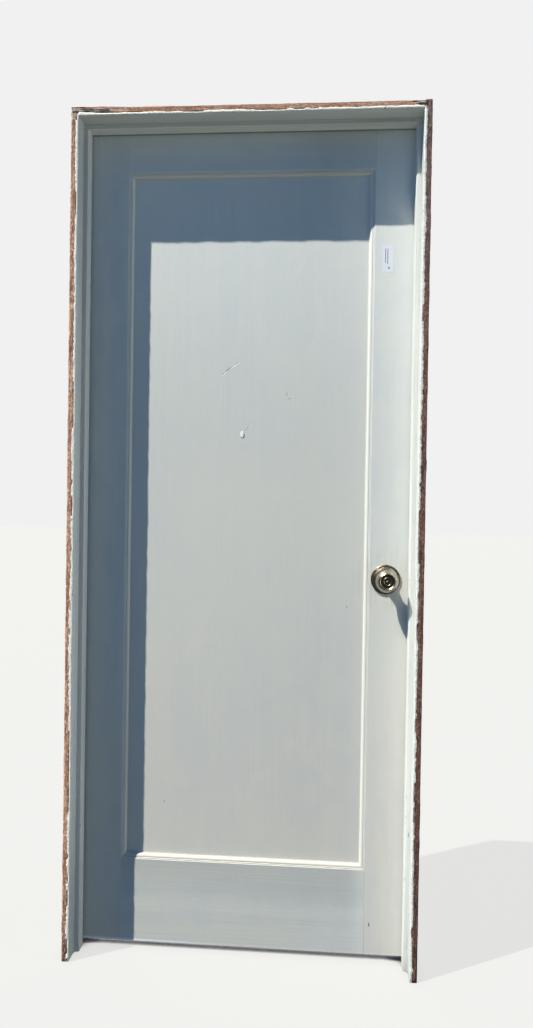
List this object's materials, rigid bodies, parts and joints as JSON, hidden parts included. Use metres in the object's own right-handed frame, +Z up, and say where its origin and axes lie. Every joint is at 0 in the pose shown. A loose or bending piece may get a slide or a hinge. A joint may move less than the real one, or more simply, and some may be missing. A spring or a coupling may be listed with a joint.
{
  "type": "interior door with jamb frame",
  "caption": "Single flat-panel interior door hung on butt hinges in its wooden jamb frame, with stops, strike plate and a round knob set.",
  "frame": {"origin": "centre of the hinge jamb's foot, on the floor", "axes": "+X from the hinge side to the latch side, +Y the way the door opens, +Z up"},
  "size_m": [0.8585, 0.178, 2.0725],
  "materials": {
    "frame_paint": "worn off-white paint, bare wood on the edges",
    "leaf_paint": "brushed off-white paint",
    "satin_nickel": "satin nickel",
    "hinge_steel": "dull plated steel"
  },
  "bodies": {
    "frame": {"hinge_jamb": "frame_paint", "latch_jamb": "frame_paint", "head_jamb": "frame_paint", "hinge_side_stop": "frame_paint", "latch_side_stop": "frame_paint", "head_stop": "frame_paint", "strike_plate": "hinge_steel", "top_jamb_hinge_leaf": "hinge_steel", "middle_jamb_hinge_leaf": "hinge_steel", "bottom_jamb_hinge_leaf": "hinge_steel", "top_hinge_pin": "hinge_steel", "middle_hinge_pin": "hinge_steel", "bottom_hinge_pin": "hinge_steel"},
    "leaf": {"hinge_stile": "leaf_paint", "lock_stile": "leaf_paint", "top_rail": "leaf_paint", "bottom_rail": "leaf_paint", "panel": "leaf_paint", "front_moulding_left": "leaf_paint", "front_moulding_right": "leaf_paint", "front_moulding_top": "leaf_paint", "front_moulding_bottom": "leaf_paint", "back_moulding_left": "leaf_paint", "back_moulding_right": "leaf_paint", "back_moulding_top": "leaf_paint", "back_moulding_bottom": "leaf_paint", "top_door_hinge_leaf": "hinge_steel", "middle_door_hinge_leaf": "hinge_steel", "bottom_door_hinge_leaf": "hinge_steel", "front_rosette": "satin_nickel", "back_rosette": "satin_nickel", "latch_face_plate": "satin_nickel", "latch_bolt": "satin_nickel"},
    "knob_set": {"front_knob": "satin_nickel", "back_knob": "satin_nickel", "spindle": "satin_nickel"}
  },
  "joints": [
    {"name": "door_swing", "type": "hinge", "parent": "frame", "child": "leaf", "pos_m": [0.01135, 0.066, 0], "axis": [0, 0, 1], "range_deg": [0, 175]},
    {"name": "knob_turn", "type": "hinge", "parent": "leaf", "child": "knob_set", "pos_m": [0.76665, 0.0405, 0.944], "axis": [0, 1, 0], "range_deg": [-50, 50], "stiffness_Nm_per_rad": 0.6}
  ]
}
